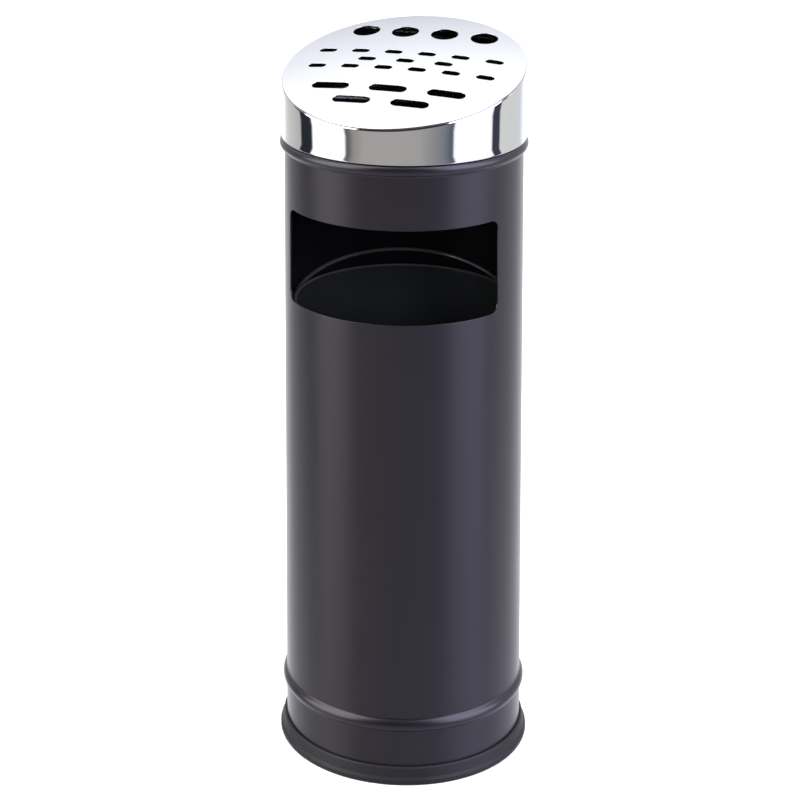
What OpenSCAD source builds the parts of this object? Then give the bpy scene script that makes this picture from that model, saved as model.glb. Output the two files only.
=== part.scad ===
// Free-standing litter bin with an ashtray lid.
// A painted sheet-steel tube with a litter opening stands on a rubber base ring.
// A loose polished lid with a sloping, perforated, slightly domed top slips over
// the neck of the tube; butts drop through it into a lift-out ash pan. A sheet-steel
// liner with a swinging wire bail stands inside and lifts out through the neck.
// Origin: centre of the floor contact. +Z is up and the litter opening faces -Y.

/* [Shell] */
// Outside diameter of the shell
shell_d = 240; // [232:1:280]
// Height of the shell's top edge above the floor
shell_h = 648; // [620:1:760]
// Sheet thickness of the shell
shell_t = 1.5; // [1:0.1:2]
// Height of the centre of the lower rolled bead
low_bead_z = 59.5; // [40:0.5:120]
// How far the lower bead stands out of the shell
low_bead_out = 3.6; // [2.5:0.1:4.5]
// Radius of the lower bead's rounded face
low_bead_r = 7.5; // [6:0.5:12]
// Distance of the upper bead's centre below the shell's top edge
neck_h = 27.5; // [26:0.1:34]
// How far the upper bead stands out of the shell
top_bead_out = 4.7; // [3:0.1:5]
// Radius of the upper bead's rounded face
top_bead_r = 5.4; // [4.5:0.1:8]

/* [Litter opening] */
// Height of the opening's lower edge
open_z = 468; // [460:1:475]
// Height of the opening, edge to edge
open_h = 93.5; // [60:0.5:110]
// Half the angle the opening spans, seen from above
open_half_deg = 60; // [40:1:65]
// Corner radius of the opening
open_r = 10; // [5:1:20]

/* [Lid] */
// Outside diameter of the lid band
lid_d = 244.8; // [244.4:0.1:246]
// Slope of the lid's top towards the front
lid_slope = 14; // [10:0.5:16]
// Turn of the loose lid about the neck, seen from above
lid_turn = -7.5; // [-180:0.5:180]
// Height of the band at its lowest point
lid_front_h = 36.5; // [34:0.5:50]
// Rise of the domed plate at its centre
dome_h = 7; // [5:0.5:9]
// Thickness of the perforated plate
plate_t = 1.5; // [1:0.1:2]
// Thickness of the lid band
band_t = 1; // [0.8:0.1:1.2]
// Height of the folded hem at the band's lower edge
hem_h = 7; // [5:0.5:9]

/* [Perforation] */
// Diameter of the round holes near the high side
hole_d = 28; // [16:1:30]
// Spacing of the round holes
hole_pitch = 42; // [40:1:46]
// Length and width of the small slots
small_slot = [18.5, 8.2];
// Spacing of the small slots in the rows of six
small_pitch = 35; // [30:1:36]
// Length and width of the long slots
long_slot = [38.5, 12.4];
// Spacing of the long slots
long_pitch = 59.5; // [56:0.5:62]

/* [Ash pan] */
// Depth of the ash pan below its flange
pan_depth = 47; // [30:1:50]
// Sheet thickness of the ash pan
pan_t = 1; // [0.8:0.1:1.2]

/* [Liner] */
// Height of the liner's rolled rim above the floor
liner_rim_z = 455; // [440:1:456]
// Outside radius of the liner wall at the top
liner_top_r = 109; // [108.6:0.1:109.2]
// Outside radius of the liner wall at the floor
liner_low_r = 104; // [96:1:106]
// Sheet thickness of the liner
liner_t = 1; // [0.8:0.1:1.2]
// Diameter of the bail wire
bail_d = 4; // [3:0.1:4]
// Angle of the bail above the horizontal when it leans on the shell's back wall
bail_rest_deg = 16; // [15:1:90]
// Turn of the loose liner about the vertical, in degrees
liner_turn = 13; // [-180:1:180]

/* [Base] */
// Height of the rubber base ring
ring_h = 17.5; // [15:0.5:22]
// How far the base ring stands out of the shell
ring_flare = 6.5; // [5:0.1:9]
// Diameter of the four drain holes in the base plate
drain_d = 9; // [5:1:14]

/* [Hidden] */
$fn = 128;

rest_gap = 0.05;                // gap under a part that rests on another
tall = 900;                     // height of cylinders that trim parts from the floor up

// shell
shell_r = shell_d / 2;
bore_r = shell_r - shell_t;     // inside radius
shell_low_z = 4;                // lower edge
hollow_r = 2.5;                 // radius of the hollow where a bead runs into the wall
top_bead_z = shell_h - neck_h;
// beads: centre height, how far it stands out, radius of its face
beads = [[low_bead_z, low_bead_out, low_bead_r],
         [top_bead_z, top_bead_out, top_bead_r]];

// base plate and ring
base_z = 8;                     // underside of the base plate
base_t = 1.2;
base_flange_h = 16;
drain_circle_r = 70;
ring_lip = 8;                   // how far the ring reaches in under the base plate

// lid; the hem's inner edge stands on the shoulder of the upper bead
lid_r = lid_d / 2;
hem_gap = 0.5;                  // between the hem and the neck
hem_r = shell_r + hem_gap;
hem_round = 0.9;                // radius of the fold at the hem's lower outer edge
lid_z = top_bead_z + bead_half_h(top_bead_out, top_bead_r)
        - sqrt(pow(hollow_r, 2) - pow(hollow_r - hem_gap, 2)) + 0.06;
apex_z = lid_z + lid_front_h + lid_r * tan(lid_slope) + dome_h;
dome_r = pow(lid_r, 2) / (2 * dome_h);

// perforation: places of the rows up the slope from the apex
hole_row_y = 73;
small_rows_y = [21.3, -14];     // rows of six
mid_row_y = 3.2;                // row of three between them
mid_pitch = small_pitch + 5;
long_rows = [[-55.3, 3], [-80.2, 2]];   // place, number of long slots

// ash pan and its strap
pan_r = bore_r - 0.9;           // outside radius of the pan wall
pan_top = shell_h + rest_gap;   // underside of the flange
pan_low = pan_top - pan_depth;
pan_corner_r = 9;
flange_out = 0.3;               // how far the flange passes the shell's outside
strap_t = 1.5;
strap_w = 18;
strap_r = pan_r - pan_t - 0.02; // outside radius of the strap's ends
strap_low = pan_top - 26;
strap_top = pan_top + 14;
handle_rivet_z = pan_top - 15;

// rivets
rivet_hole_r = 2;
shank_r = 1.98;

// liner
liner_z = base_z + base_t + rest_gap;
curl_r = 2.2;                           // outside radius of the rolled rim
rim_wire_r = curl_r - liner_t - 0.05;
curl_x = liner_top_r - liner_t + curl_r;    // distance of the rim's centre from the axis
liner_floor_h = 7;                      // height of the floor above the wall's lower edge
liner_floor_r = liner_low_r - liner_t - 0.05;

// bail and its ears
pivot_z = liner_rim_z - 16;
pivot_r = wall_r(pivot_z);
bail_r = bail_d / 2;
bail_half = shell_r - 4.8;              // half width of the bail, to the wire's centre
bail_leg = 4;                           // straight part of each leg
pin_clear = 0.06;                       // radial clearance of the bail's ends
pin_inner = pivot_r - 4.5;              // where the bail's ends stop inside the wall
ear_t = 1.4;
ear_gap = 0.02;                         // between ear and wall
ear_low_z = pivot_z - 30;
ear_h = 38;
ear_half_w = 10;
ear_corner_r = 5;
ear_rivets_z = [pivot_z - 13, pivot_z - 24];

// Half the height of a bead that stands out by out with a face of radius r, hollows included
function bead_half_h(out, r) = sqrt(pow(r + hollow_r, 2) - pow(hollow_r + r - out, 2));

// Outside radius of the tapered liner wall at height z
function wall_r(z) = liner_low_r + (liner_top_r - liner_low_r)
                     * (z - liner_z) / (liner_rim_z - liner_z);

// Places children at x and z with their +Z turned to +X
module along_x(x, z = 0) {
    translate([x, 0, z]) rotate([0, 90, 0]) children();
}

// Row of children along X, centred on X = 0
module row(y, count, pitch) {
    for (i = [0 : count - 1]) translate([(i - (count - 1) / 2) * pitch, y]) children();
}

// Flat slot of size [length, width], along X, with round ends
module slot2d(size) {
    straight = size[0] - size[1];
    square([straight, size[1]], center = true);
    for (side = [-1, 1]) translate([side * straight / 2, 0]) circle(d = size[1], $fn = 48);
}

// Cutter for a rivet hole, along Z
module rivet_hole() {
    cylinder(r = rivet_hole_r, h = 20, center = true, $fn = 48);
}

// Cutter for the hole in which a bail end turns, on the +X side for side = 1
module pin_hole(side = 1) {
    along_x(side * liner_top_r, pivot_z)
        cylinder(r = bail_r + pin_clear, h = 20, center = true, $fn = 64);
}

// Places children in the lid's own frame: turned about the neck, tilted,
// with the origin at the apex of the dome and +Y up the slope
module on_slope() {
    rotate([0, 0, lid_turn]) translate([0, 0, apex_z]) rotate([lid_slope, 0, 0]) children();
}

// Solid of revolution about the tilted axis below a sphere of radius r
// whose centre is dome_r below the apex
module dome_solid(r, depth) {
    rotate_extrude($fn = 180) intersection() {
        translate([0, -dome_r]) circle(r = r, $fn = 1440);
        translate([0, -depth]) square([140, depth + 10]);
    }
}

// Space of the litter opening: a ring segment whose four corners are rounded square
// to the shell
module opening_cutter() {
    reach = 20;     // to each side of the shell's outside
    over = 3;       // corner cutters pass the opening's edges by this much
    corner_deg = open_half_deg - asin(open_r / shell_r);
    difference() {
        rotate([0, 0, -90 - open_half_deg]) rotate_extrude(angle = 2 * open_half_deg)
            translate([shell_r - reach, open_z]) square([2 * reach, open_h]);
        for (side = [0, 1]) mirror([side, 0, 0]) rotate([0, 0, corner_deg])
            translate([0, -shell_r, open_z + open_h / 2]) rotate([90, 0, 0])
                linear_extrude(60, center = true) for (end = [0, 1]) mirror([0, end])
                    translate([0, open_h / 2 - open_r]) difference() {
                        square([open_r + over, open_r + over]);
                        circle(r = open_r + 0.05, $fn = 64);
                    }
    }
}

// Section of a rolled bead at height z: it stands out by out with a face of radius r
// and runs into the wall through two small hollows
module bead2d(z, out, r) {
    half_h = bead_half_h(out, r);
    root_x = bore_r + 0.5;
    face_x = shell_r + out - r;     // centre of the face
    share = r / (r + hollow_r);     // face and hollow meet at this share of the way
    meet_x = face_x + share * (shell_r + hollow_r - face_x);
    meet_h = share * half_h;
    difference() {
        union() {
            intersection() {
                translate([face_x, z]) circle(r = r, $fn = 96);
                translate([meet_x, z - 10]) square([20, 20]);
            }
            polygon([[root_x, z - half_h], [shell_r, z - half_h], [meet_x, z - meet_h],
                     [meet_x, z + meet_h], [shell_r, z + half_h], [root_x, z + half_h]]);
        }
        for (side = [-1, 1])
            translate([shell_r + hollow_r, z + side * half_h]) circle(r = hollow_r, $fn = 48);
    }
}

// Rolled steel tube with two outward beads, a plain neck and the litter opening
module outer_shell() {
    color("#3a383e") difference() {
        rotate_extrude() difference() {
            union() {
                translate([bore_r, shell_low_z]) square([shell_t, shell_h - shell_low_z]);
                for (bead = beads) bead2d(bead[0], bead[1], bead[2]);
            }
            // the beads are hollow
            for (bead = beads) translate([shell_r + bead[1] - bead[2], bead[0]])
                circle(r = bead[2] - shell_t, $fn = 96);
        }
        opening_cutter();
    }
}

// Pressed steel floor with an upturned flange welded inside the shell
module base_plate() {
    color("#2b2a2e") difference() {
        rotate_extrude() {
            translate([0, base_z]) square([bore_r, base_t]);
            translate([bore_r - base_t, base_z]) square([base_t, base_flange_h]);
        }
        for (turn = [45 : 90 : 315]) rotate([0, 0, turn])
            translate([drain_circle_r, 0, base_z - 1]) cylinder(d = drain_d, h = 4, $fn = 48);
    }
}

// Rubber ring that grips the shell's bottom edge and stands on the floor
module base_ring() {
    foot_r = shell_r + ring_flare;
    color("#1c1b1e") rotate_extrude() difference() {
        // section: radius, height
        polygon([[shell_r - ring_lip, 0], [foot_r - 1, 0], [foot_r, 1], [foot_r, 4.4],
                 [foot_r - 0.5, 6], [foot_r - 1.7, 7.6],
                 [shell_r + 2.9, ring_h - 1.6], [shell_r + 2, ring_h], [shell_r, ring_h],
                 [shell_r, base_z], [shell_r - ring_lip, base_z]]);
        // groove for the shell's edge
        translate([bore_r, shell_low_z]) square([shell_t, ring_h]);
    }
}

// Oblique stainless band of the lid with a folded hem, seated on the upper bead
module lid_band() {
    color("#d9dbde") rotate([0, 0, lid_turn]) intersection() {
        rotate_extrude() {
            // band, cut to the slope below
            translate([lid_r - band_t, lid_z + hem_h - 1]) square([band_t, 140]);
            // hem with a rounded lower outer edge
            translate([hem_r, lid_z + hem_round]) square([lid_r - hem_r, hem_h - hem_round]);
            translate([hem_r, lid_z]) square([lid_r - hem_r - hem_round, 1]);
            translate([lid_r - hem_round, lid_z + hem_round]) circle(r = hem_round, $fn = 48);
        }
        translate([0, 0, apex_z]) rotate([lid_slope, 0, 0]) dome_solid(dome_r - plate_t, 200);
    }
}

// Domed stainless top plate with round holes and slots
module lid_plate() {
    color("#e6e8ea") difference() {
        intersection() {
            on_slope() difference() {
                dome_solid(dome_r, 60);
                dome_solid(dome_r - plate_t, 70);
            }
            cylinder(r = lid_r, h = tall);
        }
        on_slope() translate([0, 0, -30]) linear_extrude(60) {
            row(hole_row_y, 4, hole_pitch) circle(d = hole_d, $fn = 96);
            for (y = small_rows_y) row(y, 6, small_pitch) slot2d(small_slot);
            row(mid_row_y, 3, mid_pitch) slot2d(small_slot);
            for (line = long_rows) row(line[0], line[1], long_pitch) slot2d(long_slot);
        }
    }
}

// Pressed dish whose flange rests on the shell's top edge under the lid
module ash_pan() {
    r = pan_corner_r;
    inner_r = pan_r - pan_t;
    color("#26272a") difference() {
        rotate_extrude() {
            // flange
            translate([inner_r, pan_top]) square([shell_r + flange_out - inner_r, pan_t]);
            // wall
            translate([inner_r, pan_low + r]) square([pan_t, pan_depth - r + pan_t]);
            // floor
            translate([0, pan_low]) square([pan_r - r, pan_t]);
            // round corner
            translate([pan_r - r, pan_low + r]) intersection() {
                difference() {
                    circle(r = r, $fn = 96);
                    circle(r = r - pan_t, $fn = 96);
                }
                translate([0, -r]) square([r, r]);
            }
        }
        for (side = [-1, 1]) along_x(side * pan_r, handle_rivet_z) rivet_hole();
    }
}

// Flat strap across the pan by which it is lifted out
module pan_handle() {
    inner_x = strap_r - strap_t;
    outer_x = strap_r + 2;      // trimmed round to strap_r
    // +X half of the side view, from inner top to outer top: x, z
    half = [[inner_x - 22, strap_top - strap_t], [inner_x, strap_top - 23.2],
            [inner_x, strap_low], [outer_x, strap_low],
            [outer_x, strap_top - 22.6], [inner_x - 21.4, strap_top]];
    color("#26272a") difference() {
        intersection() {
            rotate([90, 0, 0]) linear_extrude(strap_w, center = true)
                polygon(concat(half, [for (i = [5 : -1 : 0]) [-half[i][0], half[i][1]]]));
            cylinder(r = strap_r, h = tall);
        }
        for (side = [-1, 1]) along_x(side * strap_r, handle_rivet_z) rivet_hole();
    }
}

// Two rivets that fix the strap to the pan's wall
module handle_rivets() {
    color("#b4b6b9") for (turn = [0, 180]) rotate([0, 0, turn])
        translate([pan_r, 0, handle_rivet_z]) rotate([0, -90, 0]) {
            // outer head, shank, inner head
            translate([0, 0, -0.5]) cylinder(r = 3.6, h = 0.5, $fn = 64);
            cylinder(r = shank_r, h = pan_t + 1.6, $fn = 48);
            translate([0, 0, pan_t + 1.56]) cylinder(r1 = 4, r2 = 2.6, h = 1.5, $fn = 64);
        }
}

// Tapered solid from z up over height h, its surface off from the liner wall's outside
module wall_cone(z, h, off) {
    translate([0, 0, z]) cylinder(r1 = wall_r(z) + off, r2 = wall_r(z + h) + off, h = h);
}

// Tapered liner wall with a rim rolled outwards over a wire
module liner_wall() {
    color("#3c3f45") rotate([0, 0, liner_turn]) difference() {
        union() {
            difference() {
                wall_cone(liner_z, liner_rim_z - liner_z, 0);
                wall_cone(liner_z, liner_rim_z - liner_z, -liner_t);
            }
            rotate_extrude() difference() {
                translate([curl_x, liner_rim_z]) circle(r = curl_r, $fn = 64);
                translate([curl_x, liner_rim_z]) circle(r = rim_wire_r + 0.02, $fn = 48);
                // the free edge of the sheet stops short of the wall
                translate([liner_top_r, liner_rim_z - 3]) square([1, 2]);
            }
        }
        for (side = [-1, 1]) pin_hole(side);
        for (turn = [0, 180]) rotate([0, 0, turn]) at_ear_rivets() rivet_hole();
    }
}

// Liner floor, flanged down and seamed inside the wall
module liner_floor() {
    color("#34373c") rotate_extrude() {
        translate([0, liner_z + liner_floor_h]) square([liner_floor_r, 1]);
        translate([liner_floor_r - 1, liner_z + 0.3]) square([1, 7]);
    }
}

// Wire inside the rolled rim
module liner_rim_wire() {
    color("#8f9296") translate([0, 0, liner_rim_z])
        rotate_extrude() translate([curl_x, 0]) circle(r = rim_wire_r, $fn = 48);
}

// Puts children at the two rivets of the +X ear, with +Z pointing out of the wall
module at_ear_rivets() {
    for (z = ear_rivets_z) along_x(wall_r(z), z) children();
}

// Outline of an ear: rounded lower corners and a round top
module ear2d() {
    corner_z = ear_low_z + ear_corner_r;
    inset = ear_half_w - ear_corner_r;
    translate([-ear_half_w, corner_z]) square([2 * ear_half_w, pivot_z - corner_z]);
    translate([-inset, ear_low_z]) square([2 * inset, 2 * ear_corner_r]);
    for (side = [-1, 1]) translate([side * inset, corner_z]) circle(r = ear_corner_r, $fn = 48);
    translate([0, pivot_z - 2]) circle(r = ear_half_w, $fn = 64);
}

// Two curved ears with raised eyes that carry the bail's ends
module liner_ears() {
    color("#a4a7ab") for (turn = [0, 180]) rotate([0, 0, liner_turn + turn]) difference() {
        union() {
            intersection() {
                difference() {
                    wall_cone(ear_low_z, ear_h, ear_t + ear_gap);
                    wall_cone(ear_low_z, ear_h, ear_gap);
                }
                translate([90, 0, 0]) rotate([90, 0, 90]) linear_extrude(30) ear2d();
            }
            // eye
            along_x(pivot_r + 0.8, pivot_z)
                cylinder(r = bail_r + 2.6, h = ear_t + 1.2, $fn = 64);
        }
        pin_hole();
        at_ear_rivets() rivet_hole();
    }
}

// Four rivets that fix the ears to the liner wall
module ear_rivets() {
    color("#b9bbbe") for (turn = [0, 180]) rotate([0, 0, liner_turn + turn]) at_ear_rivets() {
        // inner head, shank, outer head
        translate([0, 0, -liner_t - 1.1]) cylinder(r1 = 2.8, r2 = 3.6, h = 1, $fn = 64);
        translate([0, 0, -liner_t - 0.12])
            cylinder(r = shank_r, h = liner_t + ear_t + 0.3, $fn = 48);
        translate([0, 0, ear_t + 0.1]) cylinder(r1 = 3.8, r2 = 2.4, h = 1.5, $fn = 64);
    }
}

// Swinging wire bail; its ends turn in the ears and are peened inside the wall
module bail_wire() {
    color("#c0c2c5") rotate([0, 0, liner_turn]) translate([0, 0, pivot_z])
        rotate([bail_rest_deg - 90, 0, 0]) {
        // bow
        translate([0, 0, bail_leg]) rotate([90, 0, 0])
            rotate_extrude(angle = 180) translate([bail_half, 0]) circle(r = bail_r, $fn = 48);
        for (side = [-1, 1]) {
            // bend and straight leg
            translate([side * bail_half, 0, 0]) {
                sphere(r = bail_r, $fn = 48);
                cylinder(r = bail_r, h = bail_leg + 0.01, $fn = 48);
            }
            // end through the ear
            along_x(side * (bail_half + pin_inner) / 2)
                cylinder(r = bail_r, h = bail_half - pin_inner, center = true, $fn = 64);
            // peened head
            along_x(side * (pivot_r - 3.4))
                cylinder(r = bail_r + 1.4, h = 2.2, center = true, $fn = 64);
        }
    }
}

outer_shell();
base_plate();
base_ring();
lid_band();
lid_plate();
ash_pan();
pan_handle();
handle_rivets();
liner_wall();
liner_floor();
liner_rim_wire();
liner_ears();
ear_rivets();
bail_wire();
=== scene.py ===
import bpy, bmesh, math
import numpy as np
from mathutils import Vector, Matrix
from mathutils.geometry import delaunay_2d_cdt


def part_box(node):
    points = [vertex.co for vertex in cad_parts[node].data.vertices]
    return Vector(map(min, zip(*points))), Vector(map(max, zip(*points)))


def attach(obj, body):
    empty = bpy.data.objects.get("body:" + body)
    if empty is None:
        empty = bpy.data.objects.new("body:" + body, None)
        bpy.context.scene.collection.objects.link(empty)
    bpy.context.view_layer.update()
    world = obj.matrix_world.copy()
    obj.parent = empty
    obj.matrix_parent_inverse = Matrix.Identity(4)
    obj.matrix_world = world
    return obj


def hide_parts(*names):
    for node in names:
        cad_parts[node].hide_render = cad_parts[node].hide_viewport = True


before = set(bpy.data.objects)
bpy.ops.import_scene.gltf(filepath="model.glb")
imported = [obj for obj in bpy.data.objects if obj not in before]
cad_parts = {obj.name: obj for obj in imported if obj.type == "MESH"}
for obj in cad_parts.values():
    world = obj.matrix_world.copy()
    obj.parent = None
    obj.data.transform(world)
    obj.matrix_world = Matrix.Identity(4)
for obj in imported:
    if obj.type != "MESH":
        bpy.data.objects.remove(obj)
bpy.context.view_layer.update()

MM = 0.001
PI = math.pi


# ------------------------------------------------------------------ sizes (metres), read from the frame
def span(node):
    lo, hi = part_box(node)
    return lo, hi


SHELL_LO, SHELL_HI = span("outer_shell")
BAND_LO, BAND_HI = span("lid_band")
RING_LO, RING_HI = span("base_ring")
PAN_LO, PAN_HI = span("ash_pan")
LINER_LO, LINER_HI = span("liner_wall")
RIMW_LO, RIMW_HI = span("liner_rim_wire")

TOP_OUT, TOP_FACE = 4.7 * MM, 5.4 * MM     # how far a bead stands out, radius of its rounded face
LOW_OUT, LOW_FACE = 3.6 * MM, 7.5 * MM
T = 1.5 * MM
SHELL_R = SHELL_HI.x - TOP_OUT         # outside radius of the tube
SHELL_TOP = SHELL_HI.z
SHELL_BOT = SHELL_LO.z
BEADS_Z = (59.5 * MM, SHELL_TOP - 27.5 * MM)
OPEN_Z0, OPEN_Z1 = 468 * MM, 561.5 * MM
OPEN_A = math.radians(60)
OPEN_R = 10 * MM

LID_R = 122.4 * MM
LID_Z = BAND_LO.z
SLOPE = math.radians(14)
LID_TURN = math.radians(-7.5)
DOME = 7 * MM
DOME_R = LID_R ** 2 / (2 * DOME)
PLATE_T = 1.5 * MM
BAND_T = 1.0 * MM
HEM_IN = SHELL_R + 0.5 * MM
HEM_H = 7 * MM
APEX_Z = LID_Z + 36.5 * MM + LID_R * math.tan(SLOPE) + DOME

RIM_Z = (RIMW_LO.z + RIMW_HI.z) / 2
PIVOT_Z = RIM_Z - 16 * MM
LINER_TURN = math.radians(13)
RIMW_R = (RIMW_HI.z - RIMW_LO.z) / 2
LINER_Z = LINER_LO.z
LINER_TOP_R, LINER_LOW_R, LINER_T = 109 * MM, 104 * MM, 1.0 * MM
CURL_R = 2.2 * MM
CURL_C = LINER_TOP_R - LINER_T + CURL_R


def wall_r(z):
    return LINER_LOW_R + (LINER_TOP_R - LINER_LOW_R) * (z - LINER_Z) / (RIM_Z - LINER_Z)


# ------------------------------------------------------------------ mesh helpers
def finish_mesh(name, verts, faces, body, replaces=(), merge=1e-6, normal_fn=None):
    """Welds, orients outwards, and gives the mesh area-weighted normals, with exact ones where normal_fn knows them."""
    me = bpy.data.meshes.new(name)
    me.from_pydata([tuple(v) for v in verts], [], [tuple(f) for f in faces])
    bm = bmesh.new()
    bm.from_mesh(me)
    if merge:
        bmesh.ops.remove_doubles(bm, verts=bm.verts, dist=merge)
    bmesh.ops.dissolve_degenerate(bm, edges=bm.edges, dist=1e-8)
    loose = [v for v in bm.verts if not v.link_faces]
    if loose:
        bmesh.ops.delete(bm, geom=loose, context="VERTS")
    bmesh.ops.recalc_face_normals(bm, faces=bm.faces)
    bm.to_mesh(me)
    bm.free()
    me.update()
    n = len(me.vertices)
    co = np.empty(n * 3); me.vertices.foreach_get("co", co); co = co.reshape(-1, 3)
    nf = len(me.polygons)
    fn = np.empty(nf * 3); me.polygons.foreach_get("normal", fn); fn = fn.reshape(-1, 3)
    fa = np.empty(nf); me.polygons.foreach_get("area", fa)
    tot = np.empty(nf, np.int32); me.polygons.foreach_get("loop_total", tot)
    lv = np.empty(len(me.loops), np.int32); me.loops.foreach_get("vertex_index", lv)
    lf = np.repeat(np.arange(nf), tot)
    acc = np.zeros((n, 3))
    np.add.at(acc, lv, fn[lf] * fa[lf][:, None])
    acc /= np.maximum(np.linalg.norm(acc, axis=1), 1e-20)[:, None]
    if normal_fn is not None:
        exact, mask = normal_fn(co)
        acc[mask] = exact[mask]
    me.polygons.foreach_set("use_smooth", np.ones(nf, bool))
    me.normals_split_custom_set_from_vertices([tuple(v) for v in acc])
    me.update()
    ob = bpy.data.objects.new(name, me)
    bpy.context.scene.collection.objects.link(ob)
    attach(ob, body)
    if replaces:
        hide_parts(*replaces)
    return ob


def fillet(points, seg=5):
    """Closed or open 2D polyline of (x, y, corner radius) with its corners rounded."""
    out, n = [], len(points)
    for i in range(n):
        p = Vector(points[i][:2])
        r = points[i][2] if len(points[i]) > 2 else 0
        if r <= 0:
            out.append((p.x, p.y))
            continue
        p0, p1 = Vector(points[i - 1][:2]), Vector(points[(i + 1) % n][:2])
        a, b = (p0 - p), (p1 - p)
        la, lb = a.length, b.length
        a.normalize(); b.normalize()
        ang = a.angle(b)
        if ang > PI - 1e-3:
            out.append((p.x, p.y))
            continue
        d = min(r / math.tan(ang / 2), 0.49 * la, 0.49 * lb)
        r = d * math.tan(ang / 2)
        c = p + (a + b).normalized() * (r / math.sin(ang / 2))
        s, e = p + a * d - c, p + b * d - c
        a0, a1 = math.atan2(s.y, s.x), math.atan2(e.y, e.x)
        da = (a1 - a0 + PI) % (2 * PI) - PI
        for k in range(seg + 1):
            t = a0 + da * k / seg
            out.append((c.x + r * math.cos(t), c.y + r * math.sin(t)))
    return out


def lathe(profile, n=192, close=True):
    """Vertices and faces of a closed (r, z) profile turned about Z."""
    verts, faces = [], []
    m = len(profile)
    for j in range(n):
        a = 2 * PI * j / n
        for r, z in profile:
            verts.append((r * math.sin(a), -r * math.cos(a), z))
    for j in range(n):
        k = (j + 1) % n
        for i in range(m if close else m - 1):
            i2 = (i + 1) % m
            faces.append((j * m + i, k * m + i, k * m + i2, j * m + i2))
    return verts, faces


def sweep(path, radius, n=20, closed=False, cap=True):
    """Round wire along a list of points, with frames carried along the path; radius may be a list."""
    pts = [Vector(p) for p in path]
    m = len(pts)
    rad = radius if isinstance(radius, (list, tuple)) else [radius] * m
    tang = []
    for i in range(m):
        a = pts[i - 1] if (i > 0 or closed) else pts[i]
        b = pts[(i + 1) % m] if (i < m - 1 or closed) else pts[i]
        tang.append((b - a).normalized())
    ref = Vector((0, 0, 1)) if abs(tang[0].z) < 0.9 else Vector((1, 0, 0))
    u = tang[0].cross(ref).normalized()
    verts, faces = [], []
    for i in range(m):
        if i:
            q = tang[i - 1].rotation_difference(tang[i])
            u = (q @ u).normalized()
        u = (u - tang[i] * u.dot(tang[i])).normalized()
        w = tang[i].cross(u)
        for k in range(n):
            a = 2 * PI * k / n
            verts.append(pts[i] + (u * math.cos(a) + w * math.sin(a)) * rad[i])
    rows = m if closed else m - 1
    for i in range(rows):
        i2 = (i + 1) % m
        for k in range(n):
            k2 = (k + 1) % n
            faces.append((i * n + k, i * n + k2, i2 * n + k2, i2 * n + k))
    if not closed and cap:
        faces.append(tuple(range(n - 1, -1, -1)))
        faces.append(tuple((m - 1) * n + k for k in range(n)))
    return verts, faces


def cdt(loops, interior, holes):
    """Triangles over loops[0] minus the holes (loop functions give their points); returns triangles on the joined point list."""
    pts, edges = [], []
    for lp in loops:
        b = len(pts)
        pts += [Vector(p) for p in lp]
        edges += [(b + i, b + (i + 1) % len(lp)) for i in range(len(lp))]
    pts += [Vector(p) for p in interior]
    res = delaunay_2d_cdt(pts, edges, [], 0, 1e-10)
    ov, of, orig = res[0], res[2], res[3]
    back = [o[0] for o in orig]
    cen = np.array([[sum(ov[i][k] for i in f) / 3 for k in (0, 1)] for f in of])
    keep = np.ones(len(of), bool)
    for h in holes:
        keep &= ~inside(cen, np.array(h))
    return [tuple(back[i] for i in of[q]) for q in range(len(of)) if keep[q]]


def inside(p, poly):
    x, y = p[:, 0], p[:, 1]
    res = np.zeros(len(p), bool)
    n = len(poly)
    for i in range(n):
        x0, y0 = poly[i]; x1, y1 = poly[(i + 1) % n]
        c = (y0 > y) != (y1 > y)
        with np.errstate(divide="ignore", invalid="ignore"):
            xi = x0 + (y - y0) * (x1 - x0) / (y1 - y0)
        res ^= c & (x < xi)
    return res


def far_from(p, loops, dist):
    keep = np.ones(len(p), bool)
    for lp in loops:
        lp = np.array(lp)
        b = np.roll(lp, -1, 0)
        d = b - lp
        L = np.maximum((d ** 2).sum(1), 1e-20)
        t = np.clip(((p[:, None, :] - lp[None]) * d[None]).sum(2) / L[None], 0, 1)
        q = lp[None] + t[..., None] * d[None]
        keep &= np.sqrt(((p[:, None, :] - q) ** 2).sum(2)).min(1) > dist
    return keep


def slot_loop(cx, cy, l, w, off, n=10):
    """Round-ended slot along X, grown by off; the same number of points for every off."""
    r, h = w / 2 + off, (l - w) / 2
    out = []
    for k in range(n + 1):
        a = -PI / 2 + PI * k / n
        out.append((cx + h + r * math.cos(a), cy + r * math.sin(a)))
    for k in (1, 2, 3):
        out.append((cx + h - 2 * h * k / 4, cy + r))
    for k in range(n + 1):
        a = PI / 2 + PI * k / n
        out.append((cx - h + r * math.cos(a), cy + r * math.sin(a)))
    for k in (1, 2, 3):
        out.append((cx - h + 2 * h * k / 4, cy - r))
    return out


def circle_loop(cx, cy, r, n=48):
    return [(cx + r * math.cos(2 * PI * k / n), cy + r * math.sin(2 * PI * k / n)) for k in range(n)]


def rim_steps(t, e, seg=3):
    """(growth of the hole, depth) down through a sheet of thickness t with edges rounded by e."""
    s = [(e * (1 - math.sin(PI / 2 * k / seg)), e * (1 - math.cos(PI / 2 * k / seg))) for k in range(seg + 1)]
    return s + [(o, t - d) for o, d in reversed(s)]


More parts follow.
